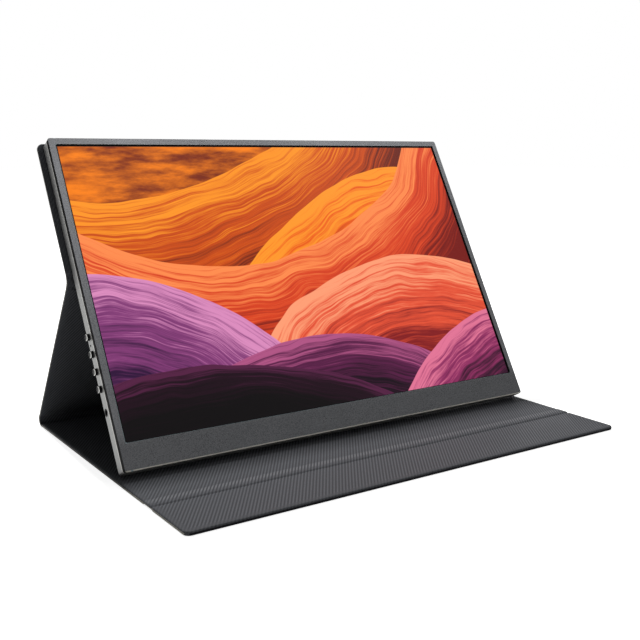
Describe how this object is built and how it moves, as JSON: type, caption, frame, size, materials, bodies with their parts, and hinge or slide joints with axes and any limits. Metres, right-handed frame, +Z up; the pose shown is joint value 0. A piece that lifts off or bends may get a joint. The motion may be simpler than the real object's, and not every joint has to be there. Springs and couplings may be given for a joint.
{
  "type": "portable monitor",
  "caption": "Slim flat screen in a metal housing, standing on its hinged leather cover, with round keys in one side.",
  "frame": {"origin": "On the table, in the middle of the cover's footprint.", "axes": "+X to the right as seen from the front of the screen, +Y to the back, +Z up."},
  "size_m": [0.3644, 0.2529, 0.2176],
  "materials": {
    "front_metal": "satin anodised",
    "silver_metal": "satin anodised",
    "key_metal": "turned, satin",
    "seal_rubber": "matte",
    "screen_glass": "anti-glare",
    "cover_leather": "ribbed, satin",
    "lining_leather": "ribbed, satin",
    "stiff_board": "matte",
    "magnet_steel": "plated",
    "sheet_steel": "pressed sheet",
    "screw_steel": "plated",
    "circuit_board": "satin",
    "chip_plastic": "matte",
    "clear_plastic": "polished",
    "white_film": "satin",
    "led_plastic": "gloss",
    "cable_film": "satin",
    "wire_rubber": "satin"
  },
  "bodies": {
    "base": {"base_skin": "cover_leather", "base_board": "stiff_board", "spine_board": "stiff_board", "base_lining": "lining_leather", "heel_fold": "cover_leather", "crease_fold": "cover_leather"},
    "flap": {"flap_skin": "cover_leather", "flap_board": "stiff_board", "flap_lining": "lining_leather", "flap_magnets": "magnet_steel"},
    "strut": {"strut_skin": "cover_leather", "strut_board": "stiff_board", "strut_lining": "lining_leather", "knee_fold": "cover_leather"},
    "screen": {"back_panel_skin": "cover_leather", "back_panel_board": "stiff_board", "back_panel_lining": "lining_leather", "back_panel_magnets": "magnet_steel", "front_frame": "front_metal", "screen_seal": "seal_rubber", "cell_tape": "seal_rubber", "mid_frame": "silver_metal", "rear_cover": "silver_metal", "lcd_cell": "screen_glass", "optical_films": "white_film", "light_guide_plate": "clear_plastic", "reflector_sheet": "white_film", "led_strip": "led_plastic", "panel_chassis": "sheet_steel", "timing_board": "circuit_board", "panel_flex": "cable_film", "main_board": "circuit_board", "board_chips": "chip_plastic", "lower_usb_socket": "sheet_steel", "upper_usb_socket": "sheet_steel", "hdmi_socket": "sheet_steel", "button_board": "circuit_board", "tact_switches": "chip_plastic", "audio_jack": "chip_plastic", "button_cable": "cable_film", "display_cable": "cable_film", "left_speaker": "chip_plastic", "right_speaker": "chip_plastic", "speaker_wires": "wire_rubber", "board_screws": "screw_steel", "cover_screws": "screw_steel", "chassis_standoffs": "screw_steel", "monitor_magnets": "magnet_steel"},
    "down_key": {"down_button": "key_metal"},
    "up_key": {"up_button": "key_metal"},
    "menu_key": {"menu_button": "key_metal"},
    "power_key": {"power_button": "key_metal"}
  },
  "joints": [
    {"name": "strut_fold", "type": "hinge", "parent": "base", "child": "strut", "pos_m": [0, 0.12135, 0.0051], "axis": [-1, 0, 0], "range_deg": [-10, 28], "deforming": ["heel_fold"]},
    {"name": "back_fold", "type": "hinge", "parent": "strut", "child": "screen", "pos_m": [0, 0.04909, 0.12112], "axis": [1, 0, 0], "range_deg": [-20, 56], "deforming": ["knee_fold"]},
    {"name": "flap_fold", "type": "hinge", "parent": "base", "child": "flap", "pos_m": [0, -0.07545, 0.0016], "axis": [-1, 0, 0], "range_deg": [0, 145], "deforming": ["crease_fold"]},
    {"name": "down_key_press", "type": "slide", "parent": "screen", "child": "down_key", "axis": [1, 0, 0], "range_m": [0, 0.00035], "stiffness_N_per_m": 1500},
    {"name": "up_key_press", "type": "slide", "parent": "screen", "child": "up_key", "axis": [1, 0, 0], "range_m": [0, 0.00035], "stiffness_N_per_m": 1500},
    {"name": "menu_key_press", "type": "slide", "parent": "screen", "child": "menu_key", "axis": [1, 0, 0], "range_m": [0, 0.00035], "stiffness_N_per_m": 1500},
    {"name": "power_key_press", "type": "slide", "parent": "screen", "child": "power_key", "axis": [1, 0, 0], "range_m": [0, 0.00035], "stiffness_N_per_m": 1500}
  ],
  "couplings": [
    {"joint": "back_fold", "follows": "strut_fold", "ratio": 2}
  ]
}
